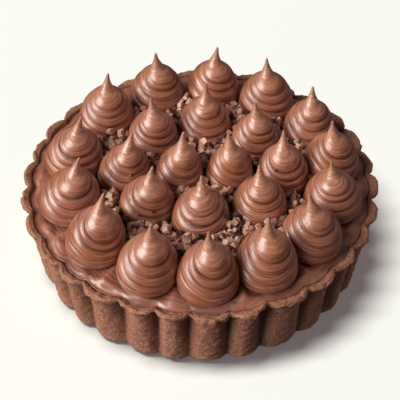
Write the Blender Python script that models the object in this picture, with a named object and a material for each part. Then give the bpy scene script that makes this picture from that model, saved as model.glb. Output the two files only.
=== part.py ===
"""Chocolate tart, 181 mm across: a fluted chocolate shortcrust case, a smooth chocolate filling
and three rings of piped chocolate kisses. Metres, +Z up, origin at the centre of the underside.
Run with: blender --background --python part.py
"""

import math

import bmesh
import bpy
import numpy as np

GAP = 0.0003  # clearance between pieces that touch

# Fluted case. A flute's crest stands out and its crease lies between two crests.
FLUTES = 30
CREST_ANGLE = -2.5  # degrees from +X to the first crest
COLUMNS_PER_FLUTE = 4
CASE_HEIGHT = 0.0407
RIM_RADIUS = 0.0905
BASE_RADIUS = 0.0840
BASE_ROUND = 0.0020
RIM_FLUTE_DEPTH = 0.0032
WALL_FLUTE_DEPTH = 0.0052
BASE_FLUTE_DEPTH = 0.0028
LIP_HEIGHT = 0.0034
LIP_OVERHANG = 0.0012
CROWN_INSET = 0.0026
BASE_THICKNESS = 0.0040
BORE_TOP_RADIUS = 0.0828
BORE_BASE_RADIUS = 0.0765
BORE_DROP = 0.0009  # the inner edge of the rim lies this far under its crown

# Filling, level all over, with a rounded shoulder along the case
FILLING_LEVEL = 0.0392
SHOULDER = 0.0014
FILLING_COLUMNS = 60

# Kisses: a round bulb with a spiral groove, drawn up to a thin point
FOOT_SHARE = 0.80  # foot radius over bulb radius
WAIST_SHARE = 0.13  # height of the widest part, over the kiss's height
DOME_SHARE = 0.60  # from the widest part to where the dome closes, over the kiss's height
DOME_POWER = 2.4  # how full the dome is: 2 is an ellipse when its closing is a half
DOME_CLOSING = 0.80  # how it closes: over a half it runs out into a flare under the point
POINT_SLOPE = 0.22  # how fast the drawn-up cone widens on its way down
BLEND = 2.5  # power that blends the dome into the cone: higher is a sharper neck
FOOT_POWER = 3.0  # power of the superellipse from the foot's edge up to the widest part
SPIRAL_TURNS = 5
FOOT_ROUND = 0.0013  # length along the profile, from the foot's edge to where the spiral starts
SPIRAL_SHARE = 0.58  # share of the profile's length that the spiral reaches
TURN_RATIO = 0.70  # each turn is this much narrower than the one below
GROOVE_SHARE = 0.15  # groove depth over the width of its turn
POINT_TURNS = 1  # extra turns of the grid, ungrooved, up the point
KISS_COLUMNS = 12
TURN_START = 137.5  # degrees between the starts of one kiss's spiral and the next

# Each kiss as it was piped: angle in degrees from +X, then distance from the centre, bulb radius,
# height, and how far the point leans towards +X, all in millimetres
OUTER_RING = (
    (139, 65.5, 14.7, 35, 2),
    (111, 64.5, 15, 35.5, 0.5),
    (84, 64.5, 14.6, 35.5, 1),
    (57, 65.5, 14.8, 35, -1),
    (30, 66, 13.8, 34, -0.5),
    (6.5, 67, 14.2, 34, -2.5),
    (-15.5, 67.5, 14.4, 31.5, -3),
    (-39, 68, 14.6, 33.5, -3),
    (-63, 67.5, 14.6, 37, -1),
    (-87, 68, 14.5, 37, 1),
    (-111, 67, 14.6, 36.5, 3.5),
    (-137, 67, 14.6, 36.5, 5),
    (-164, 66, 15.2, 33, 6),
    (170, 65, 15, 34, 5.5),
)
MIDDLE_RING = (
    (134, 35, 13.6, 34, 1.5),
    (86, 35.5, 14, 34, 1),
    (38, 36, 12.8, 34, -0.5),
    (-1, 41.5, 13.3, 34, -2),
    (-38, 37, 13.6, 32, -1.5),
    (-89, 30.5, 14.2, 33, 1),
    (-140, 34, 13.8, 31, 3.5),
    (-178, 38, 13.4, 34, 5),
)
INNER_PAIR = (
    (-174, 10.5, 12.4, 34, 3),
    (-5, 15, 12.2, 34, -1),
)

CRUST_COLOUR = (0.26, 0.115, 0.068)
FILLING_COLOUR = (0.30, 0.125, 0.070)
KISS_COLOUR = (0.23, 0.085, 0.045)


def clear_scene():
    for obj in list(bpy.data.objects):
        bpy.data.objects.remove(obj, do_unlink=True)


def make_material(name, colour, roughness):
    material = bpy.data.materials.new(name)
    material.use_nodes = True
    shader = material.node_tree.nodes["Principled BSDF"]
    shader.inputs["Base Color"].default_value = (*colour, 1)
    shader.inputs["Roughness"].default_value = roughness
    shader.inputs["Metallic"].default_value = 0
    return material


def add_object(name, work, material, location=(0, 0, 0)):
    """Turn a bmesh into a named object whose faces point out and whose round parts are smooth."""
    bmesh.ops.recalc_face_normals(work, faces=work.faces)
    mesh = bpy.data.meshes.new(name)
    work.to_mesh(mesh)
    work.free()
    mesh.materials.append(material)
    mesh.shade_smooth()
    mesh.set_sharp_from_angle(angle=math.radians(40))
    obj = bpy.data.objects.new(name, mesh)
    obj.location = location
    bpy.context.collection.objects.link(obj)
    return obj


def stack_of_rings(rings):
    """A closed body from rings of points, each (columns, 3), with a flat cap on the first and last."""
    work = bmesh.new()
    loops = [[work.verts.new(point) for point in ring] for ring in rings]
    for lower, upper in zip(loops, loops[1:]):
        for i, corner in enumerate(lower):
            j = (i + 1) % len(lower)
            work.faces.new((corner, lower[j], upper[j], upper[i]))
    work.faces.new(loops[0])
    work.faces.new(loops[-1])
    bmesh.ops.triangulate(work, faces=work.faces)
    return work


def ring(angles, radii, height):
    radii = np.broadcast_to(radii, angles.shape)
    heights = np.full(angles.shape, height)
    return np.stack((radii * np.cos(angles), radii * np.sin(angles), heights), axis=-1)


def bore_radius(height):
    """Radius of the case's inner wall, which widens evenly from its floor to the rim."""
    share = (height - BASE_THICKNESS) / (CASE_HEIGHT - BORE_DROP - BASE_THICKNESS)
    return BORE_BASE_RADIUS + (BORE_TOP_RADIUS - BORE_BASE_RADIUS) * share


def make_crust(material):
    columns = FLUTES * COLUMNS_PER_FLUTE
    pitch = math.tau / FLUTES
    crest = math.radians(CREST_ANGLE)
    angles = crest + np.arange(columns) * math.tau / columns
    across = (angles - crest + pitch / 2) % pitch / pitch * 2 - 1
    crease = across**2  # 0 on a crest, 1 in a crease

    def fluted(radius, depth, height):
        return ring(angles, radius - depth * crease, height)

    under_lip = CASE_HEIGHT - LIP_HEIGHT
    outer = [
        fluted(BASE_RADIUS - BASE_ROUND, BASE_FLUTE_DEPTH, 0),
        fluted(BASE_RADIUS, BASE_FLUTE_DEPTH, BASE_ROUND),
        fluted(RIM_RADIUS - LIP_OVERHANG, WALL_FLUTE_DEPTH, under_lip),
        fluted(RIM_RADIUS, RIM_FLUTE_DEPTH, under_lip + LIP_OVERHANG),
        fluted(RIM_RADIUS - CROWN_INSET, RIM_FLUTE_DEPTH / 2, CASE_HEIGHT),
    ]
    bore = [
        ring(angles, BORE_TOP_RADIUS, CASE_HEIGHT - BORE_DROP),
        ring(angles, BORE_BASE_RADIUS, BASE_THICKNESS),
    ]
    add_object("crust", stack_of_rings(outer + bore), material)


def make_filling(material):
    angles = math.radians(CREST_ANGLE) + np.arange(FILLING_COLUMNS) * math.tau / FILLING_COLUMNS
    floor = BASE_THICKNESS + GAP
    edge = FILLING_LEVEL - SHOULDER / 2
    rings = [
        ring(angles, bore_radius(floor) - GAP, floor),
        ring(angles, bore_radius(edge) - GAP, edge),
        ring(angles, bore_radius(FILLING_LEVEL) - GAP - SHOULDER, FILLING_LEVEL),
    ]
    add_object("filling", stack_of_rings(rings), material)


def kiss_profile(bulb, tall):
    """A kiss from its foot to its point, as (length along it, radius, height).

    Under the waist it swells out from the foot along a superellipse. Above, the dome, which is
    (1 - share of its height ** DOME_POWER) ** DOME_CLOSING, and the cone are blended as
    (dome**BLEND + cone**BLEND)**(1 / BLEND).
    """
    waist = WAIST_SHARE * tall
    height = np.linspace(0, tall, 400)
    cone = POINT_SLOPE * (tall - height)
    dome_radius = (bulb**BLEND - (POINT_SLOPE * (tall - waist)) ** BLEND) ** (1 / BLEND)
    above = np.clip((height - waist) / (DOME_SHARE * tall), 0, 1)
    dome = dome_radius * (1 - above**DOME_POWER) ** DOME_CLOSING
    radius = (dome**BLEND + cone**BLEND) ** (1 / BLEND)
    below = np.clip(1 - height / waist, 0, 1)
    foot = bulb * FOOT_SHARE
    swell = (1 - below**FOOT_POWER) ** (1 / FOOT_POWER)
    radius = np.where(below > 0, foot + (bulb - foot) * swell, radius)
    steps = np.hypot(np.diff(radius), np.diff(height))
    return np.concatenate(([0], np.cumsum(steps))), radius, height


def length_at_turn(turn, whole):
    """Length along the profile after so many turns: the foot's rounding over the half turn before
    the start, then narrowing turns, then even ones up the point."""
    spiral = SPIRAL_SHARE * whole - FOOT_ROUND
    rounding = np.clip(2 * turn + 1, 0, 1)
    wound = (1 - TURN_RATIO ** np.clip(turn, 0, SPIRAL_TURNS)) / (1 - TURN_RATIO**SPIRAL_TURNS)
    beyond = np.clip((turn - SPIRAL_TURNS) / POINT_TURNS, 0, 1)
    return FOOT_ROUND * rounding + spiral * wound + (1 - SPIRAL_SHARE) * whole * beyond


def press_flat(points, neighbours):
    """Flatten a kiss against the planes halfway to the kisses that it would run into."""
    for towards, reach in neighbours:
        beyond = points[..., 0] * towards[0] + points[..., 1] * towards[1] - reach
        push = np.clip(beyond, 0, None)
        points[..., 0] -= push * towards[0]
        points[..., 1] -= push * towards[1]


def kiss_points(bulb, tall, start):
    """The skewed grid of a kiss: rows climb half a turn each, and a row's end meets the start of
    the row two above it, so odd rows wind up the groove and even rows up the swell between."""
    length, radius, height = kiss_profile(bulb, tall)
    row, column = np.mgrid[0 : 2 * (SPIRAL_TURNS + POINT_TURNS) + 6, 0:KISS_COLUMNS]
    turn = row / 2 + column / KISS_COLUMNS - 1.5
    along = length_at_turn(turn, length[-1])
    turn_width = length_at_turn(turn + 0.5, length[-1]) - length_at_turn(turn - 0.5, length[-1])
    grooved = (row % 2 == 1) & (turn > 0) & (turn <= SPIRAL_TURNS)
    depth = np.where(grooved, GROOVE_SHARE * turn_width, 0)
    rise = np.interp(along, length, np.gradient(height, length))
    spread = np.interp(along, length, np.gradient(radius, length))
    out = np.interp(along, length, radius) - depth * rise
    up = np.interp(along, length, height) + depth * spread
    out[turn >= SPIRAL_TURNS + POINT_TURNS] = 0
    angle = start + column * math.tau / KISS_COLUMNS
    return np.stack((out * np.cos(angle), out * np.sin(angle), up), axis=-1)


def make_kiss(name, place, bulb, tall, lean, start, neighbours, material):
    points = kiss_points(bulb, tall, start)
    press_flat(points, neighbours)
    points[..., 0] += lean * (points[..., 2] / tall) ** 2

    work = bmesh.new()
    verts = [[work.verts.new(point) for point in line] for line in points]
    last = KISS_COLUMNS - 1
    for r in range(len(verts) - 3):
        for c in range(last):
            work.faces.new((verts[r][c], verts[r][c + 1], verts[r + 1][c + 1], verts[r + 1][c]))
        work.faces.new((verts[r][last], verts[r + 2][0], verts[r + 3][0], verts[r + 1][last]))
    bmesh.ops.remove_doubles(work, verts=work.verts, dist=1e-6)
    foot_edges = [edge for edge in work.edges if len(edge.link_faces) == 1]
    bmesh.ops.contextual_create(work, geom=foot_edges)
    bmesh.ops.triangulate(work, faces=work.faces)
    bmesh.ops.delete(work, geom=[v for v in work.verts if not v.link_faces], context="VERTS")
    add_object(name, work, material, (*place, FILLING_LEVEL + GAP))


def piping_plan():
    """Every kiss as (name, place, bulb radius, height, lean) in metres, ring by ring."""
    plan = []
    rings = (("outer", OUTER_RING), ("middle", MIDDLE_RING), ("inner", INNER_PAIR))
    for ring_name, kisses in rings:
        for number, (angle, *millimetres) in enumerate(kisses, start=1):
            distance, bulb, tall, lean = (value / 1000 for value in millimetres)
            turn = math.radians(angle)
            place = (distance * math.cos(turn), distance * math.sin(turn))
            plan.append((f"kiss_{ring_name}_{number:02d}", place, bulb, tall, lean))
    return plan


def pressing_neighbours(place, bulb, plan):
    """The directions in which other kisses touch this one, and how far it may reach there."""
    found = []
    for _, other_place, other_bulb, _, _ in plan:
        away = np.subtract(other_place, place)
        distance = float(np.hypot(*away))
        if 0 < distance < bulb + other_bulb + GAP:
            middle = distance / 2 + (bulb**2 - other_bulb**2) / (2 * distance)
            found.append((away / distance, middle - GAP / 2))
    return found


def make_kisses(material):
    plan = piping_plan()
    for index, (name, place, bulb, tall, lean) in enumerate(plan):
        start = math.radians(TURN_START * index)
        neighbours = pressing_neighbours(place, bulb, plan)
        make_kiss(name, place, bulb, tall, lean, start, neighbours, material)


clear_scene()
make_crust(make_material("crust", CRUST_COLOUR, 0.85))
make_filling(make_material("filling", FILLING_COLOUR, 0.35))
make_kisses(make_material("piped_cream", KISS_COLOUR, 0.32))
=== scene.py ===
"""How the chocolate tart looks: its fluted case, the cream in it, the piped kisses on the cream and
the chopped crumbs between them. Metres, +Z up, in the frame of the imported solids."""

import math
import bmesh
import bpy
import numpy as np
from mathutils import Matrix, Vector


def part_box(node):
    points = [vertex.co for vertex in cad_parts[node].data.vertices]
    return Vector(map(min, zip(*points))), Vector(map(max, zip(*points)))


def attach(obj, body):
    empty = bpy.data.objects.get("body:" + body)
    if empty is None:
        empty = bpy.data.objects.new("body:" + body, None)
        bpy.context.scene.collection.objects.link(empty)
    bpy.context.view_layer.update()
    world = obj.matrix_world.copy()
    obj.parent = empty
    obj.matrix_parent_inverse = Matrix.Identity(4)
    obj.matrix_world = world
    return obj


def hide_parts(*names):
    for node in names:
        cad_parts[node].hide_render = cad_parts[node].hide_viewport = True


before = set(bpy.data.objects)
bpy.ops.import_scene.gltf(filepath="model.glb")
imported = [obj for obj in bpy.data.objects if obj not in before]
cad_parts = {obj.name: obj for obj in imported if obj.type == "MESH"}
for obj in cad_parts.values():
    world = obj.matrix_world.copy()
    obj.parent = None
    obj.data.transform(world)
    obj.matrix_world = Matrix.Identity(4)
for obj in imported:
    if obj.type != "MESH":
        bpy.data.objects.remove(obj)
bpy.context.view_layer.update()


# ---- The case
# Chocolate shortcrust, pressed by hand into a fluted loose-bottomed tin and baked blind. The tin
# gives the wall its convex flutes. The dough trimmed along the tin's edge leaves a thin crumbly rim
# that stands a little proud of the wall.

FLUTES = 30
CREST_ANGLE = math.radians(-2.5)
CREST_STRAY = 0.0012  # how far a crest strays from the even pitch
FLUTE_POWER = 2.3  # 2 makes a flute's crest an arc, and more makes it flatter
COLUMNS_PER_FLUTE = 24
CASE_RADIUS, CASE_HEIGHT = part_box("crust")[1].xz
CASE_FOOT = 0.0840
CASE_FLOOR = 0.0040
RIM_WIDTH = 0.0050
BORE = CASE_RADIUS - RIM_WIDTH
BORE_FLUTE = 0.0019
RIM_LIFT = 0.00045  # the rim's slow rise and fall
RIM_TEAR = 0.0005  # and its quick one, where the dough was trimmed
CHIP_DEPTH = 0.0009  # of the deepest places where the rim has crumbled
# The rim's shadow on the wall under it is painted into the crust's colour
PAINTED_RIM_SHADOW = 0.4  # how dark the wall is under the rim, where a deep crease is 1
SHORTCRUST_DARK = (0.120, 0.042, 0.026)
SHORTCRUST = (0.520, 0.212, 0.124)
SHORTCRUST_BLOTCH = (0.320, 0.132, 0.080)
SHORTCRUST_LIGHT = (0.560, 0.310, 0.210)
SHORTCRUST_SPECK = (0.600, 0.380, 0.280)
# The colour of the painted shade in the creases and of the rim's painted shadow
PAINTED_SHADE_BROWN = (0.050, 0.018, 0.013)
RIM_BROWN = (0.420, 0.160, 0.080)

# Stations from the middle of the underside, up the outside, over the rim and down the inside:
# radius, height, depth of the flutes, how much of the rim's crumbling, rows up to the next station
CASE_STATIONS = (
    (0, 0, 0, 0, 2),
    (CASE_FOOT - 0.0030, 0, 0.0027, 0, 4),
    (CASE_FOOT, 0.0026, 0.0030, 0, 36),
    (CASE_RADIUS - 0.0026, CASE_HEIGHT - 0.0040, 0.0068, 0, 8),
    (CASE_RADIUS - 0.0003, CASE_HEIGHT - 0.0028, 0.0038, 1, 5),
    (CASE_RADIUS - 0.0004, CASE_HEIGHT - 0.0011, 0.0036, 1, 8),
    (CASE_RADIUS - 0.0018, CASE_HEIGHT, 0.0032, 0.6, 10),
    (BORE + 0.0006, CASE_HEIGHT - 0.0007, BORE_FLUTE, 0.3, 3),
    (BORE, CASE_HEIGHT - 0.0016, BORE_FLUTE, 0, 3),
    (BORE - 0.0006, CASE_HEIGHT - 0.0050, 0.0020, 0, 2),
    (0.0765, CASE_FLOOR, 0, 0, 2),
    (0, CASE_FLOOR, 0, 0, 0),
)


def plane_waves(points, size, seed, waves=40):
    """Roughness that is alike in every direction, mostly between -1 and 1: a sum of cosine waves of
    random direction and phase, each one to two sizes long, over the root of half their number."""
    random = np.random.default_rng(seed)
    heading = random.normal(size=(waves, 3))
    heading /= np.linalg.norm(heading, axis=1, keepdims=True)
    heading *= math.tau / (size * random.uniform(1, 2, (waves, 1)))
    phase = random.uniform(0, math.tau, waves)
    return np.cos(points @ heading.T + phase).sum(axis=-1) / math.sqrt(waves / 2)


def ease(low, high, value):
    """0 under low, 1 over high and 3t^2 - 2t^3 between them."""
    share = np.clip((value - low) / (high - low), 0, 1)
    return share * share * (3 - 2 * share)


def walk(stations, rounding):
    """The columns of a list of stations, row by row along the path through their first two columns.
    The last column is each leg's number of rows. Corners are rounded: every value is the mean over
    so many metres of path, or over less near the path's ends."""
    stations = np.array(stations)
    reach = np.concatenate(([0], np.cumsum(np.hypot(*np.diff(stations[:, :2], axis=0).T))))
    legs = zip(reach, reach[1:], stations[:, -1].astype(int))
    at = np.concatenate([np.linspace(start, end, rows, False) for start, end, rows in legs])
    at = np.append(at, reach[-1])
    spread = np.minimum(rounding / 2, np.minimum(at, reach[-1] - at))
    at = at[:, None] + spread[:, None] * np.linspace(-1, 1, 25)
    return [np.interp(at, reach, column).mean(axis=1)[:, None] for column in stations.T[:-1]]


def outward(radius, height):
    """The outward normal of a profile, as its share along the radius and along +Z."""
    along = np.gradient(radius, axis=0)
    up = np.gradient(height, axis=0)
    length = np.hypot(along, up) + 1e-12
    return up / length, -along / length


def turned(radius, angle, height):
    """Points from cylinder coordinates."""
    radius, angle, height = np.broadcast_arrays(radius, angle, height)
    return np.stack((radius * np.cos(angle), radius * np.sin(angle), height), axis=-1)


def skin(name, points, attributes, climb=0):
    """A closed mesh object from a grid of points, (rows, columns, 3). Each row's end joins the
    start of the row so many rows above it, and points that fall together, as at a pole, are merged.
    An attribute has a number or a vector for each point, or one for each row."""
    rows, columns, _ = points.shape
    number = np.arange(rows * columns).reshape(rows, columns)
    number = np.hstack((number[: rows - climb], number[climb:, :1]))
    quads = np.stack((number[:-1, :-1], number[:-1, 1:], number[1:, 1:], number[1:, :-1]), axis=-1)
    mesh = bpy.data.meshes.new(name)
    mesh.from_pydata(points.reshape(-1, 3), [], quads.reshape(-1, 4).tolist())
    for label, values in attributes.items():
        kind, field = ("FLOAT_VECTOR", "vector") if np.ndim(values) == 3 else ("FLOAT", "value")
        values = np.broadcast_to(values, (rows, columns) + values.shape[2:])
        layer = mesh.attributes.new(label, kind, "POINT")
        layer.data.foreach_set(field, values.astype(np.float32).ravel())
    work = bmesh.new()
    work.from_mesh(mesh)
    bmesh.ops.remove_doubles(work, verts=work.verts, dist=1e-6)
    bmesh.ops.delete(work, geom=[v for v in work.verts if not v.link_faces], context="VERTS")
    bmesh.ops.recalc_face_normals(work, faces=work.faces)
    work.to_mesh(mesh)
    work.free()
    mesh.shade_smooth()
    obj = bpy.data.objects.new(name, mesh)
    bpy.context.scene.collection.objects.link(obj)
    return obj


class Wire:
    """An output socket of a finish. Arithmetic on it adds Math nodes."""

    def __init__(self, finish, socket):
        self.finish = finish
        self.socket = socket

    def math(self, operation, first, second, clamp=False):
        settings = {"operation": operation, "use_clamp": clamp}
        return self.finish.add("ShaderNodeMath", settings, {0: first, 1: second})

    def __add__(self, other):
        return self.math("ADD", self, other)

    def __sub__(self, other):
        return self.math("SUBTRACT", self, other)

    def __rsub__(self, other):
        return self.math("SUBTRACT", other, self)

    def __mul__(self, other):
        return self.math("MULTIPLY", self, other)

    def __pow__(self, other):
        return self.math("POWER", self, other)

    __radd__ = __add__
    __rmul__ = __mul__

    def between(self, low, high):
        """0 where this is low or less, 1 where it is high or more."""
        share = (self - low) * (1 / (high - low))
        return self.math("ADD", share, 0.0, clamp=True)


class Finish:
    """A material on the Principled shader, made node by node."""

    def __init__(self, name, **constants):
        self.material = bpy.data.materials.new(name)
        self.material.use_nodes = True
        self.tree = self.material.node_tree
        self.shader = self.tree.nodes["Principled BSDF"]
        for socket, value in constants.items():
            self.shader.inputs[socket.replace("_", " ")].default_value = value
        place = self.tree.nodes.new("ShaderNodeTexCoord")
        self.place = Wire(self, place.outputs["Object"])

    def add(self, kind, settings=None, sockets=None, output=0):
        """A node of that type: its settings first, then its sockets' values or links."""
        node = self.tree.nodes.new(kind)
        for setting, value in (settings or {}).items():
            setattr(node, setting, value)
        for socket, value in (sockets or {}).items():
            if isinstance(value, Wire):
                self.tree.links.new(value.socket, node.inputs[socket])
            else:
                node.inputs[socket].default_value = value
        return Wire(self, node.outputs[output])

    def attribute(self, label, output="Fac"):
        return self.add("ShaderNodeAttribute", {"attribute_name": label}, output=output)

    def noise(self, size, detail=3.0, where=None):
        """Soft noise about one half, with features that many metres across."""
        sockets = {"Vector": where or self.place, "Scale": 1 / size, "Detail": detail}
        return self.add("ShaderNodeTexNoise", None, sockets)

    def tint(self, mask, low, high):
        """The colour low where mask is 0 and high where it is 1. A Mix node has its colours in
        sockets 6 and 7, and gives their mixture in socket 2."""
        low, high = (side if isinstance(side, Wire) else (*side, 1) for side in (low, high))
        sockets = {0: mask, 6: low, 7: high}
        return self.add("ShaderNodeMix", {"data_type": "RGBA"}, sockets, output=2)

    def finish(self, colour, roughness, relief, depth):
        """Link what varies. Relief runs from 0 to 1 and stands for so many metres."""
        sockets = {"Strength": 1.0, "Distance": depth, "Height": relief}
        bump = self.add("ShaderNodeBump", None, sockets)
        links = {"Base Color": colour, "Roughness": roughness, "Normal": bump}
        for socket, wire in links.items():
            self.tree.links.new(wire.socket, self.shader.inputs[socket])
        return self.material


def across_flutes(angle):
    """|t|^2.3, where t runs from -1 to 1 across a flute: 0 on its crest and 1 in the creases. The
    crests stray a little from an even pitch."""
    stray = CREST_STRAY * plane_waves(turned(CASE_RADIUS, angle, 0), 0.030, seed=3)
    flute = (angle + stray / CASE_RADIUS - CREST_ANGLE) * FLUTES / math.tau
    return np.abs((flute + 0.5) % 1 * 2 - 1) ** FLUTE_POWER


def make_case():
    """Radius = profile - flute depth x |t|^2.3 across each flute. The rim also rises and falls by
    plane waves, and more of them push the surface in and out, the rim's most of all. The mark
    "crease" is painted shade: 1 high up in the creases and less low down and on the crests, with
    the rim's painted shadow on the wall under it. The mark "rim" is how crumbly a row is."""
    radius, height, flute, crumbly = walk(CASE_STATIONS, 0.0009)
    columns = FLUTES * COLUMNS_PER_FLUTE
    angle = np.arange(columns) * math.tau / columns
    circle = turned(CASE_RADIUS, angle, 0)
    crease = across_flutes(angle)[None]
    depth = flute * (1 + 0.08 * plane_waves(circle, 0.025, seed=4))
    lift = RIM_LIFT * plane_waves(circle, 0.022, seed=5)
    lift = lift * ease(0.4 * CASE_HEIGHT, CASE_HEIGHT, height)
    torn = RIM_TEAR * plane_waves(circle, 0.0065, seed=9) * crumbly
    lift = lift + torn * ease(CASE_HEIGHT - 0.0005, CASE_HEIGHT - 0.0030, height)

    wall = radius - depth * crease
    points = turned(wall, angle, height)
    coarse = plane_waves(points, 0.0032, seed=6)
    fine = plane_waves(points, 0.0012, seed=7)
    chips = np.clip(plane_waves(points, 0.0042, seed=8) - 0.8, 0, 1)
    push = crumbly * (0.00016 * coarse + 0.00010 * fine - CHIP_DEPTH * chips - 0.0002)
    push += (1 - crumbly) * (0.00012 * coarse + 0.00006 * fine)
    out, up = outward(radius, height)
    points = turned(wall + push * out, angle, height + push * up + lift)
    points[..., 2] = np.where(height > 0, np.maximum(points[..., 2], 0), 0)

    outside = ease(0, 0.0030, height) * ease(CASE_FOOT - 0.008, CASE_FOOT - 0.004, radius)
    # Painted shade: deeper high up in the creases, and the rim's painted shadow on the wall under
    # it
    shade = ease(0.0, 0.9 * CASE_HEIGHT, height)
    under = PAINTED_RIM_SHADOW * ease(0.72 * CASE_HEIGHT, 0.92 * CASE_HEIGHT, height)
    crease_shade = outside * np.maximum(crease * (0.35 + 0.65 * shade), under)
    return skin("case", points, {"crease": crease_shade, "rim": crumbly})


def shortcrust():
    """Matte crumb: dark and light grains over a blotched brown ground, with painted shade in the
    creases and under the rim, and redder and less matte on the rim."""
    crumb = Finish("shortcrust", Specular_IOR_Level=0.35)
    blotch = crumb.noise(0.014).between(0.35, 0.70)
    grain = crumb.noise(0.0009, detail=5.0)
    speck = crumb.noise(0.0006, detail=2.0).between(0.56, 0.70)
    cells = crumb.add("ShaderNodeTexVoronoi", None, {"Vector": crumb.place, "Scale": 1 / 0.0013})
    pits = 1 - cells.between(0.05, 0.42)
    rim = crumb.attribute("rim")
    crease = crumb.attribute("crease")
    ground = crumb.tint(blotch, SHORTCRUST, SHORTCRUST_BLOTCH)
    ground = crumb.tint(rim * 0.8, ground, RIM_BROWN)
    ground = crumb.tint(grain.between(0.46, 0.70) * 0.75, ground, SHORTCRUST_LIGHT)
    gaps = (1 - grain.between(0.28, 0.50)) * (0.60 - 0.20 * rim)
    ground = crumb.tint(gaps, ground, SHORTCRUST_DARK)
    ground = crumb.tint(speck * 0.35, ground, SHORTCRUST_SPECK)
    # Painted shade in the creases and under the rim, with less of it on the rim itself
    ground = crumb.tint(crease ** 1.3 * 0.95 * (1 - rim * 0.7), ground, PAINTED_SHADE_BROWN)
    relief = grain * 0.6 + pits * -0.25 + 0.3
    return crumb.finish(ground, 0.92 - 0.30 * rim, relief, 0.0006)


case = make_case()
case.data.materials.append(shortcrust())
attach(case, "root")
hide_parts("crust")


# ---- The cream in the case
# Smooth chocolate cream, poured in warm and set. It lies just under the rim, with a soft ridge
# where it drew back from the crust, and the piping has pulled it up into folds between the kisses.

CREAM_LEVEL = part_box("filling")[1].z
CREAM_EDGE = BORE - 0.0002
CREAM_UNDERSIDE = CASE_FLOOR + 0.0003
RIDGE_INSET = 0.0046  # from the crust to the top of the ridge
HOLLOW_INSET = 0.0014
RIDGE = 0.0009  # how far each form stands up from the level, or lies under it
HOLLOW = 0.0004
WEB = 0.0017
WRINKLE = 0.00008
WRINKLE_RATE = 2400  # radians of the wrinkles' wave for each metre in from the crust
UNEVEN = 0.0002  # the slow waves all over
RIDGE_WIDTH = 0.0021  # from the middle of each form to where it is 1/e of its height
HOLLOW_WIDTH = 0.0010
WEB_WIDTH = 0.0024
CONTACT_SHADE_WIDTH = 0.0026
CREAM = (0.360, 0.128, 0.070)
CREAM_LIGHT = (0.580, 0.290, 0.190)
# Dark streaks in the cream, and also the painted shade against the kisses and the crust
CREAM_DARK_AND_SHADE = (0.150, 0.050, 0.030)
# Nearly black: cocoa dust under the heaps, and also painted shade in the gaps between the bits
COCOA_AND_SHADE = (0.016, 0.008, 0.006)  # fine dust and chips under the heaps
KISS_FOOT_SHARE = 0.80  # a solid kiss's foot radius over its bulb's

# Radius, height, depth of the flutes, how much of the folds' relief, rows up to the next station
CREAM_STATIONS = (
    (0, CREAM_LEVEL, 0, 0, 10),
    (0.050, CREAM_LEVEL, 0, 0.5, 10),
    (0.064, CREAM_LEVEL, 0, 1, 50),
    (CREAM_EDGE - 0.0003, CREAM_LEVEL, BORE_FLUTE, 1, 6),
    (CREAM_EDGE, CREAM_LEVEL - 0.0006, BORE_FLUTE, 0.2, 3),
    (CREAM_EDGE - 0.0010, CREAM_LEVEL - 0.0045, 0.0020, 0, 2),
    (0.0762, CREAM_UNDERSIDE, 0, 0, 2),
    (0, CREAM_UNDERSIDE, 0, 0, 0),
)


def piped_kiss(node):
    """Where a kiss stands and how it was piped, from its solid: the lowest corners lie on the
    foot's circle, and the highest corner is the point. Returns the foot's centre, the radius of the
    bulb, the height, and how far the point leans along +X."""
    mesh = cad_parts[node].data
    corners = np.empty(len(mesh.vertices) * 3, np.float32)
    mesh.vertices.foreach_get("co", corners)
    corners = corners.reshape(-1, 3).astype(float)
    foot = corners[corners[:, 2] < corners[:, 2].min() + 1e-5]
    centre = (foot.min(axis=0) + foot.max(axis=0)) / 2
    tip = corners[corners[:, 2].argmax()] - centre
    bulb = np.hypot(*(foot - centre).T[:2]).mean() / KISS_FOOT_SHARE
    return centre, bulb, tip[2], tip[0]


KISSES = {node: piped_kiss(node) for node in sorted(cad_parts) if node.startswith("kiss")}


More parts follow.
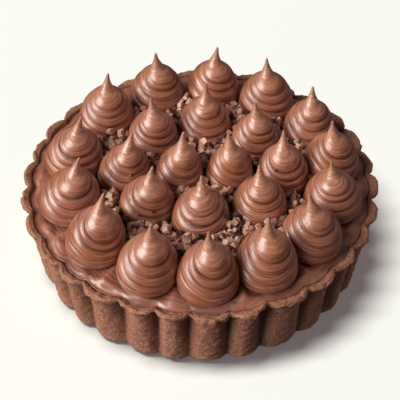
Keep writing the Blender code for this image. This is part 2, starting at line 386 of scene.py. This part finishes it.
def make_cream():
    """A level disc with a rounded edge that follows the flutes. Its relief is a sum of Gaussians:
    a hollow along the crust, a ridge on a circle inside it that drifts in and out, and a web on the
    line between each two neighbours of the outer ring, with fine wrinkles that run along the crust
    and slow plane waves. The mark "tucked" is painted shade, 1 against a kiss or the crust, and
    "dusted" is 1 where the crumbs lie, for cocoa dust and painted shade between the bits."""
    radius, height, flute, folds = walk(CREAM_STATIONS, 0.0005)
    columns = FLUTES * COLUMNS_PER_FLUTE
    angle = np.arange(columns) * math.tau / columns
    radius = radius - flute * across_flutes(angle)
    flat = turned(radius, angle, 0)
    drift = plane_waves(flat, 0.012, seed=11)
    inset = CREAM_EDGE - BORE_FLUTE * across_flutes(angle) - radius
    swell = CREAM_EDGE - 0.5 * BORE_FLUTE - RIDGE_INSET - 0.0007 * drift
    ridge = np.exp(-(((radius - swell) / RIDGE_WIDTH) ** 2))
    hollow = np.exp(-(((inset - HOLLOW_INSET) / HOLLOW_WIDTH) ** 2))

    feet = [centre for node, (centre, *_) in KISSES.items() if "outer" in node]
    bearing = np.sort([math.atan2(y, x) for x, y, _ in feet])
    midway = bearing + np.diff(bearing, append=bearing[0] + math.tau) / 2
    aside = (angle[:, None] - midway + math.pi) % math.tau - math.pi
    aside = np.abs(aside).min(axis=1) * radius
    web = np.exp(-((aside / WEB_WIDTH) ** 2)) * ease(0.0015, 0.0090, inset)
    wrinkle = np.sin(inset * WRINKLE_RATE + 2.2 * drift + 3 * plane_waves(flat, 0.03, seed=12))
    relief = RIDGE * ridge - HOLLOW * hollow + WEB * web + WRINKLE * wrinkle
    relief += UNEVEN * plane_waves(flat, 0.010, seed=13)

    # Where the crumbs lie, the cream is painted nearly black for cocoa dust and painted shade
    dust_and_shade = 1 - ease(0.050, 0.060, radius)
    # Painted shade on the cream around each kiss's foot and along the crust
    gap = np.full(radius.shape, 1.0)
    for centre, bulb, _, _ in KISSES.values():
        gap = np.minimum(gap, np.hypot(flat[..., 0] - centre[0], flat[..., 1] - centre[1]) - bulb)
    contact_shade = np.exp(-((np.clip(gap, 0, None) / CONTACT_SHADE_WIDTH) ** 2))
    contact_shade += np.exp(-((inset / HOLLOW_WIDTH) ** 2))
    marks = {"dust_and_shade": dust_and_shade, "contact_shade": contact_shade}
    return skin("cream", turned(radius, angle, height + folds * relief), marks)


def set_cream():
    """Satin cream in light and dark streaks, with painted shade close to the kisses and the crust,
    and nearly black under the crumbs, for cocoa dust and painted shade."""
    cream = Finish("set_cream", Specular_IOR_Level=0.9, Coat_Weight=0.6, Coat_Roughness=0.28)
    streak = cream.noise(0.006, detail=4.0)
    colour = cream.tint(streak.between(0.40, 0.70) * 0.7, CREAM, CREAM_LIGHT)
    colour = cream.tint((1 - streak.between(0.25, 0.45)) * 0.5, colour, CREAM_DARK_AND_SHADE)
    # Painted shade against the kisses and the crust
    colour = cream.tint(cream.attribute("contact_shade").between(0, 1) * 0.7, colour, CREAM_DARK_AND_SHADE)
    # Cocoa dust and painted shade under the crumbs
    colour = cream.tint(cream.attribute("dust_and_shade") * 0.85, colour, COCOA_AND_SHADE)
    return cream.finish(colour, 0.32 + 0.14 * streak, cream.noise(0.003), 0.00020)


cream = make_cream()
cream.data.materials.append(set_cream())
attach(cream, "root")
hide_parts("filling")


# ---- The piped kisses
# Whipped chocolate cream, squeezed straight down from a plain round nozzle while it turns, so each
# kiss is one rope that winds up in narrowing turns. The nozzle is then pulled away, which draws the
# top up to a thin point that leans the way it was pulled.

ROWS_PER_TURN = 20
KISS_COLUMNS = 72
WAIST_SHARE = 0.13  # the widest place's height over the whole height
FOOT_POWER = 3.0
DOME_SHARE = 0.60
DOME_POWER = 2.4
DOME_CLOSING = 0.80
POINT_SLOPE = 0.22
POINT_END = 0.0005  # how thick the point still is where it ends
POINT_ROUNDING = 0.0010
DRAWN_THIN = 0.4  # how much thinner than a cone the point is drawn at its end
DRAWN_SHARE = 0.16  # over about this share of the height
BLEND = 2.5
TURNS = 4.4
POINT_TURNS = 3
SPIRAL_SHARE = 0.77
NARROWING = 1.25
WAVER = 0.15  # how far the rope strays, over a turn's width
GROOVE_SHARE = 0.25  # a groove's depth over a turn's width
CROWN_SKEW = 0.85
CROWN_POWER = 0.6
TOWARDS_BAKER = math.radians(-72)  # the turns hang lower on this side, where the nozzle tipped
TIPPED_SHARE = 0.26  # by this share of the height, at the top turn
LAST_TURN = 0.0006  # how far the last turn stands out on that side
SHOULDER = 0.0003  # how much fuller the kiss is under the point, all round
SHOULDER_FRONT = 0.0017  # and how much more on that side
SHOULDER_SHARE = 0.66  # the fullest place's height over the whole height
SHOULDER_REACH = 0.15
BEND = 0.0008  # how far the point curls aside, at random
CLEARANCE = 0.0001  # from a kiss to the plane between it and its neighbour
DRAG_LINES = 7.0  # noise features across one turn
KISS = (0.390, 0.118, 0.054)
KISS_LIGHT = (0.600, 0.270, 0.150)
# Dark drag lines, and also the painted shade in the grooves
KISS_DARK_AND_SHADE = (0.080, 0.024, 0.015)
# Painted highlight on the point
PAINTED_POINT_HIGHLIGHT = (0.640, 0.330, 0.210)


def kiss_profile(bulb, tall):
    """From the middle of the foot to the point, as length along it, radius and height. Under the
    waist it swells from the foot along a superellipse. Above, the dome (1 - share^2.4)^0.8 and a
    cone are blended as (dome^2.5 + cone^2.5)^(1/2.5). The cone is thinned near its end by a
    Gaussian of the height that is left, and ends half a millimetre thick. The square root of that
    height rounds its last millimetre."""
    waist = WAIST_SHARE * tall
    height = np.linspace(0, tall, 900)
    left = tall - height
    cone = POINT_SLOPE * left * (1 - DRAWN_THIN * np.exp(-((left / (DRAWN_SHARE * tall)) ** 2)))
    cone += POINT_END
    dome_radius = (bulb**BLEND - (POINT_SLOPE * (tall - waist)) ** BLEND) ** (1 / BLEND)
    above = np.clip((height - waist) / (DOME_SHARE * tall), 0, 1)
    dome = dome_radius * (1 - above**DOME_POWER) ** DOME_CLOSING
    radius = (dome**BLEND + cone**BLEND) ** (1 / BLEND)
    below = np.clip(1 - height / waist, 0, 1)
    foot = bulb * KISS_FOOT_SHARE
    swell = (1 - below**FOOT_POWER) ** (1 / FOOT_POWER)
    radius = np.where(below > 0, foot + (bulb - foot) * swell, radius)
    radius *= np.sqrt(np.clip(left / POINT_ROUNDING, 0, 1))
    radius = np.concatenate(([0], radius))
    height = np.concatenate(([0], height))
    steps = np.hypot(np.diff(radius), np.diff(height))
    return np.concatenate(([0], np.cumsum(steps))), radius, height


def length_at_turn(turn, foot, whole):
    """Length along the profile: evenly across the foot in the turn before the start, then up the
    spiral as 1 - (1 - turn/turns)^1.25, so the turns narrow, then evenly up the point."""
    spiral = SPIRAL_SHARE * (whole - foot)
    wound = 1 - (1 - np.clip(turn / TURNS, 0, 1)) ** NARROWING
    beyond = np.clip((turn - TURNS) / POINT_TURNS, 0, 1)
    across = foot * np.clip(turn + 1, 0, 1)
    return across + spiral * wound + (whole - foot - spiral) * beyond


def make_kiss(node, seed):
    """A skewed grid whose rows climb with the rope, so each groove stays on one row. Between two
    grooves the rope is sin(pi x share^0.85)^0.6 high, and a groove's depth comes and goes with
    sines of the angle. The nozzle's tip moves the turns down along the profile on one side by
    ((1 + cos(angle)) / 2)^1.5 of the most, and sines make the rope waver. Under the point the kiss
    is fuller by a Gaussian of the height, most of all on that side. Where two kisses meet, each is
    pressed flat on the plane between them. The axis leans by the height squared."""
    centre, bulb, tall, lean = KISSES[node]
    random = np.random.default_rng(seed)
    start = random.uniform(0, math.tau)
    length, radius, height = kiss_profile(bulb, tall)
    whole = length[-1]
    foot = bulb * KISS_FOOT_SHARE
    last = int((TURNS + POINT_TURNS + 3) * ROWS_PER_TURN)
    row, column = np.mgrid[0:last, 0:KISS_COLUMNS]
    turn = row / ROWS_PER_TURN + column / KISS_COLUMNS - 2
    angle = start - column * math.tau / KISS_COLUMNS
    along = length_at_turn(turn, foot, whole)
    wide = length_at_turn(turn + 0.5, foot, whole) - length_at_turn(turn - 0.5, foot, whole)

    wound = ease(0.2, 2.8, turn) * (1 - ease(TURNS - 0.5, TURNS + 0.3, turn))
    phase = random.uniform(0, math.tau, 3)
    waver = np.sin(angle + phase[0] + 0.9 * turn) + 0.5 * np.sin(2 * angle + phase[1])
    along = along + WAVER * wide * waver * wound
    facing = (0.5 + 0.5 * np.cos(angle - TOWARDS_BAKER - random.normal(0, 0.2))) ** 1.5
    tipped = 1 - (1 - np.clip(turn / TURNS, 0, 1)) ** 2.2
    tipped *= TIPPED_SHARE * tall * random.uniform(0.85, 1.1) * (1 - ease(TURNS, TURNS + 1.6, turn))
    along -= tipped * facing
    crown = np.sin(math.pi * (row / ROWS_PER_TURN % 1) ** CROWN_SKEW) ** CROWN_POWER
    bite = 0.66 + 0.26 * np.sin(angle + phase[2] + 1.9 * turn) + 0.22 * np.cos(angle + 1.8)
    sunk = GROOVE_SHARE * wide * wound * bite * (1 - crown)
    sunk -= LAST_TURN * facing * np.exp(-(((turn - TURNS - 0.5) / 0.5) ** 2))
    rise = np.interp(along, length, np.gradient(height, length))
    spread = np.interp(along, length, np.gradient(radius, length))
    out = np.interp(along, length, radius) - sunk * rise
    up = np.interp(along, length, height) + sunk * spread
    shoulder = np.exp(-(((up / tall - SHOULDER_SHARE) / SHOULDER_REACH) ** 2))
    out += (SHOULDER + SHOULDER_FRONT * facing) * shoulder
    out = np.where((along >= whole) | (along <= 0), 0, np.maximum(out, 0))
    points = turned(out, angle, up)

    for other, (place, other_bulb, _, _) in KISSES.items():
        away = place - centre
        distance = math.hypot(away[0], away[1])
        if other != node and distance < bulb + other_bulb:
            reach = distance / 2 + (bulb**2 - other_bulb**2) / (2 * distance) - CLEARANCE
            beyond = points @ away / distance - reach
            points -= np.clip(beyond, 0, None)[..., None] * away / distance

    high = points[..., 2] / tall
    bend = random.normal(0, BEND, 2) * ease(0.55, 1.0, high)[..., None] ** 2
    points[..., 0] += lean * high**2
    points[..., :2] += bend
    points += centre
    grain = np.stack((np.cos(angle), np.sin(angle), turn * DRAG_LINES + seed * 9.0), axis=-1)
    # Where painted shade darkens the grooves
    groove = wound * (1 - crown) * bite
    # Where a painted highlight pales the point
    drawn = ease(whole - 0.60 * tall, whole - 0.05 * tall, along)
    marks = {"grain": grain, "groove": groove, "drawn": drawn}
    return skin(node.replace("kiss", "piped"), points, marks, ROWS_PER_TURN)


def whipped_cream():
    """Satin cream with fine drag lines along the rope. The grooves get painted shade, and the point
    gets a painted highlight."""
    cream = Finish("whipped_cream", Specular_IOR_Level=1.0, Coat_Weight=0.85, Coat_Roughness=0.25)
    grain = cream.attribute("grain", "Vector")
    drag = cream.noise(1.0, detail=5.0, where=grain)
    broad = cream.noise(0.011, detail=2.0)
    groove = cream.attribute("groove")
    colour = cream.tint(drag.between(0.46, 0.68) * 0.80, KISS, KISS_LIGHT)
    colour = cream.tint((1 - drag.between(0.30, 0.50)) * 0.55, colour, KISS_DARK_AND_SHADE)
    colour = cream.tint(broad.between(0.45, 0.75) * 0.25, colour, KISS_LIGHT)
    # Painted shade in the grooves
    colour = cream.tint(groove ** 1.3 * 0.95, colour, KISS_DARK_AND_SHADE)
    # Painted highlight on the point
    colour = cream.tint(cream.attribute("drawn") * 0.55, colour, PAINTED_POINT_HIGHLIGHT)
    return cream.finish(colour, 0.30 + 0.16 * drag, drag, 0.00065)


whipped = whipped_cream()
for seed, node in enumerate(KISSES, start=1):
    kiss = make_kiss(node, seed)
    kiss.data.materials.append(whipped)
    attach(kiss, "root")
    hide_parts(node)


# ---- The crumbs
# Chopped chocolate and cocoa nibs, angular bits about 3 mm across, spooned into the hollows between
# the kisses and lying there in loose heaps. A few have stuck to the cream.

CRUMB = 0.0017  # half of a bit's usual width
HEAP_REACH = 0.058  # no heap lies farther from the middle
STUCK = 26  # how many bits stick to the kisses
WAIST_HEIGHT = 0.0045  # the kisses' waists over the cream
CRUMB_TAN = (0.800, 0.500, 0.370)
CRUMB_BROWN = (0.480, 0.230, 0.150)
CRUMB_BLACK = (0.070, 0.026, 0.017)
CRUMB_DUST = (0.550, 0.360, 0.270)

# How much room each layer needs at the kisses' waists, and the share of its places that is filled
HEAP_LAYERS = ((-0.0015, 0.9), (-0.0010, 0.85), (-0.0003, 0.75), (0.0006, 0.55), (0.0020, 0.4))


def kiss_radius(up, bulb, tall):
    """Radius of a kiss at that height over its foot."""
    _, radius, height = kiss_profile(bulb, tall)
    return np.interp(up, height, radius)


def open_room(places):
    """How far each place is from the nearest kiss."""
    room = np.full(len(places), 1.0)
    for centre, bulb, tall, lean in KISSES.values():
        up = places[:, 2] - centre[2]
        axis = centre[0] + lean * (np.clip(up, 0, tall) / tall) ** 2
        apart = np.hypot(places[:, 0] - axis, places[:, 1] - centre[1])
        room = np.minimum(room, apart - kiss_radius(up, bulb, tall))
    return room


def heap_places(random):
    """Bits on a jittered triangular lattice in five layers. A higher layer is laid only where the
    hollow is wide, which is measured at the kisses' waists."""
    pitch = 1.75 * CRUMB
    layers = []
    for layer, (least_room, kept_share) in enumerate(HEAP_LAYERS):
        across, deep = np.mgrid[-19:20, -22:23].reshape(2, -1)
        x = (across + 0.5 * (deep % 2) + 0.33 * layer) * pitch
        y = (deep * 0.87 + 0.58 * (layer % 2)) * pitch
        z = np.full(x.shape, CREAM_LEVEL + CRUMB * (0.8 + 1.35 * layer))
        places = np.stack((x, y, z), axis=-1) + random.normal(0, 0.22 * CRUMB, (len(x), 3))
        waist = places * (1, 1, 0) + (0, 0, CREAM_LEVEL + WAIST_HEIGHT)
        kept = np.hypot(x, y) < HEAP_REACH
        kept &= open_room(waist) > least_room
        kept &= open_room(places) > 0.5 * CRUMB
        kept &= random.random(len(x)) < kept_share
        layers.append(places[kept])
    return np.concatenate(layers)


def stuck_places(random, count):
    """Bits half sunk in the flanks of the middle and inner kisses."""
    inner = [kiss for node, kiss in KISSES.items() if "outer" not in node]
    places = []
    for centre, bulb, tall, lean in (inner[i] for i in random.integers(0, len(inner), count)):
        up = random.uniform(0.15, 0.5) * tall
        angle = random.uniform(0, math.tau)
        radius = kiss_radius(up, bulb, tall)
        side = (radius * math.cos(angle) + lean * (up / tall) ** 2, radius * math.sin(angle), up)
        places.append(centre + side)
    return np.array(places)


def make_crumbs(name, places, sizes, palest, seed):
    """Every bit is a block whose corners are pushed in by a seventh to a half of the way to its
    middle. Each is stretched along its axes and turned at random. The mark "tone" is one number for
    each bit, from palest to 1."""
    random = np.random.default_rng(seed)
    corners = np.indices((2, 2, 2)).reshape(3, -1).T * 2 - 1
    sides = ((0, 1, 3, 2), (4, 6, 7, 5), (0, 4, 5, 1), (2, 3, 7, 6), (0, 2, 6, 4), (1, 5, 7, 3))
    count = len(places)
    bits = corners * random.uniform(0.52, 0.86, (count, len(corners), 1))
    bits *= random.uniform(0.75, 1.2, (count, 1, 3)) * sizes[:, None, None]
    turns = np.linalg.qr(random.normal(size=(count, 3, 3)))[0]
    turns *= np.linalg.det(turns)[:, None, None]
    points = np.einsum("nij,nkj->nki", turns, bits) + places[:, None]
    faces = np.array(sides) + len(corners) * np.arange(count)[:, None, None]
    mesh = bpy.data.meshes.new(name)
    mesh.from_pydata(points.reshape(-1, 3), [], faces.reshape(-1, 4).tolist())
    tone = np.repeat(random.uniform(palest, 1, count), len(corners))
    layer = mesh.attributes.new("tone", "FLOAT", "POINT")
    layer.data.foreach_set("value", tone.astype(np.float32))
    obj = bpy.data.objects.new(name, mesh)
    bpy.context.scene.collection.objects.link(obj)
    return obj


def chopped_chocolate():
    """Matte bits, each in its own tone from light tan to nearly black, with a patchy dust."""
    bit = Finish("chopped_chocolate", Specular_IOR_Level=0.4)
    tone = bit.attribute("tone")
    dust = bit.noise(0.0009)
    colour = bit.tint(tone.between(0.30, 0.75), CRUMB_TAN, CRUMB_BROWN)
    colour = bit.tint(tone.between(0.78, 0.84), colour, CRUMB_BLACK)
    colour = bit.tint(dust.between(0.50, 0.75) * 0.35, colour, CRUMB_DUST)
    return bit.finish(colour, 0.55 + 0.3 * dust, dust, 0.0004)


dice = np.random.default_rng(21)
heap = heap_places(dice)
stuck = stuck_places(dice, STUCK)
chopped = chopped_chocolate()

# Name, places, least and most size over a usual bit's, palest tone
BATCHES = (("crumb_heaps", heap, 0.72, 1.15, 0.0), ("stuck_crumbs", stuck, 0.35, 0.6, 0.7))
for name, places, small, large, palest in BATCHES:
    sizes = CRUMB * dice.uniform(small, large, len(places))
    crumbs = make_crumbs(name, places, sizes, palest, seed=22)
    crumbs.data.materials.append(chopped)
    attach(crumbs, "root")


# ---- Floor and light
# A wide sheet of cream paper. One large soft light stands to the left and a little in front of
# the tart, with a faint one overhead and a faint violet one to the right, behind it. The paper has
# its own lamp, high up on the left, so the shadow falls to the right.

PAPER = (0.770, 0.790, 0.735)
PAPER_GLOW = (0.104, 0.084, 0.090)
PAPER_HALF = 2.0  # half of the sheet's side
LAMP_DISTANCE = 8.0
ROOM = (1.0, 0.98, 0.96)
ROOM_STRENGTH = 0.065


def make_floor():
    """One square, four metres a side, level with the underside. It throws no light back up and
    makes no reflections."""
    mesh = bpy.data.meshes.new("floor")
    corners = [(x * PAPER_HALF, y * PAPER_HALF, 0) for x, y in ((-1, -1), (1, -1), (1, 1), (-1, 1))]
    mesh.from_pydata(corners, [], [(0, 1, 2, 3)])
    floor = bpy.data.objects.new("floor", mesh)
    bpy.context.scene.collection.objects.link(floor)
    paper = Finish("paper", Specular_IOR_Level=0.0, Roughness=0.9)
    paper.shader.inputs["Base Color"].default_value = (*PAPER, 1)
    paper.shader.inputs["Emission Color"].default_value = (*PAPER_GLOW, 1)
    paper.shader.inputs["Emission Strength"].default_value = 1
    mesh.materials.append(paper.material)
    floor.visible_diffuse = False
    floor.visible_glossy = False
    return floor


def link_light(lamp, on_paper):
    """The lamp lights the paper alone, or everything but the paper."""
    lit = bpy.data.collections.new(lamp.name + "_lit")
    lit.objects.link(floor)
    lit.collection_objects[0].light_linking.link_state = "INCLUDE" if on_paper else "EXCLUDE"
    lamp.light_linking.receiver_collection = lit


def place_lamp(light, heading, strength, colour):
    """Stand it back from the middle, shining along heading."""
    light.energy = strength
    light.color = colour
    lamp = bpy.data.objects.new(light.name, light)
    x, y, z = heading
    away = LAMP_DISTANCE / math.hypot(x, y, z)
    lamp.location = (-x * away, -y * away, -z * away)
    lamp.rotation_euler = (math.atan2(math.hypot(x, y), -z), 0, math.atan2(-x, y))
    bpy.context.scene.collection.objects.link(lamp)
    return lamp


def sunlight(name, heading, strength, softness, colour, glossy=True):
    """A sun that looks softness degrees wide. One that isn't glossy makes no highlights."""
    light = bpy.data.lights.new(name, "SUN")
    light.angle = math.radians(softness)
    lamp = place_lamp(light, heading, strength, colour)
    lamp.visible_glossy = glossy
    link_light(lamp, on_paper=False)


def paper_light(heading, strength, wide, tall, colour):
    """An oval lamp that looks so many degrees wide and tall, and is as bright as a sun of that
    strength: its power is strength x pi x distance^2."""
    light = bpy.data.lights.new("paper_lamp", "AREA")
    light.shape = "ELLIPSE"
    light.size = 2 * LAMP_DISTANCE * math.tan(math.radians(wide) / 2)
    light.size_y = 2 * LAMP_DISTANCE * math.tan(math.radians(tall) / 2)
    lamp = place_lamp(light, heading, strength * math.pi * LAMP_DISTANCE**2, colour)
    link_light(lamp, on_paper=True)


floor = make_floor()
sunlight("key", (0.75, 0.34, -0.59), 4.05, 48, (1.0, 0.97, 0.92))
sunlight("top", (0.10, -0.35, -0.93), 0.12, 60, (1.0, 0.98, 0.95), glossy=False)
sunlight("edge", (-0.90, -0.30, -0.20), 0.65, 30, (0.80, 0.76, 1.0), glossy=False)
paper_light((0.30, 0.03, -0.95), 3.68, 14, 34, (0.99, 0.99, 0.975))
world = bpy.data.worlds.new("room")
world.use_nodes = True
air = world.node_tree.nodes["Background"]
air.inputs["Color"].default_value = (*ROOM, 1)
air.inputs["Strength"].default_value = ROOM_STRENGTH
bpy.context.scene.world = world
bpy.context.scene.view_settings.view_transform = "Standard"


# ---- Camera
# Looks along +Y and down at the tart from three times its width away, and aims a little over the
# middle of its underside.

CAMERA_DISTANCE = 0.54
SENSOR_WIDTH = 36  # millimetres, as the next one
FOCAL_LENGTH = 91
CAMERA_ELEVATION = math.radians(47.55)
AIM_ELEVATION = math.radians(45.65)

lens = bpy.data.cameras.new("camera")
lens.sensor_width = SENSOR_WIDTH
lens.lens = FOCAL_LENGTH
camera = bpy.data.objects.new("camera", lens)
camera.location = (
    0,
    -CAMERA_DISTANCE * math.cos(CAMERA_ELEVATION),
    CAMERA_DISTANCE * math.sin(CAMERA_ELEVATION),
)
camera.rotation_euler = (math.pi / 2 - AIM_ELEVATION, 0, 0)
bpy.context.scene.collection.objects.link(camera)
bpy.context.scene.camera = camera
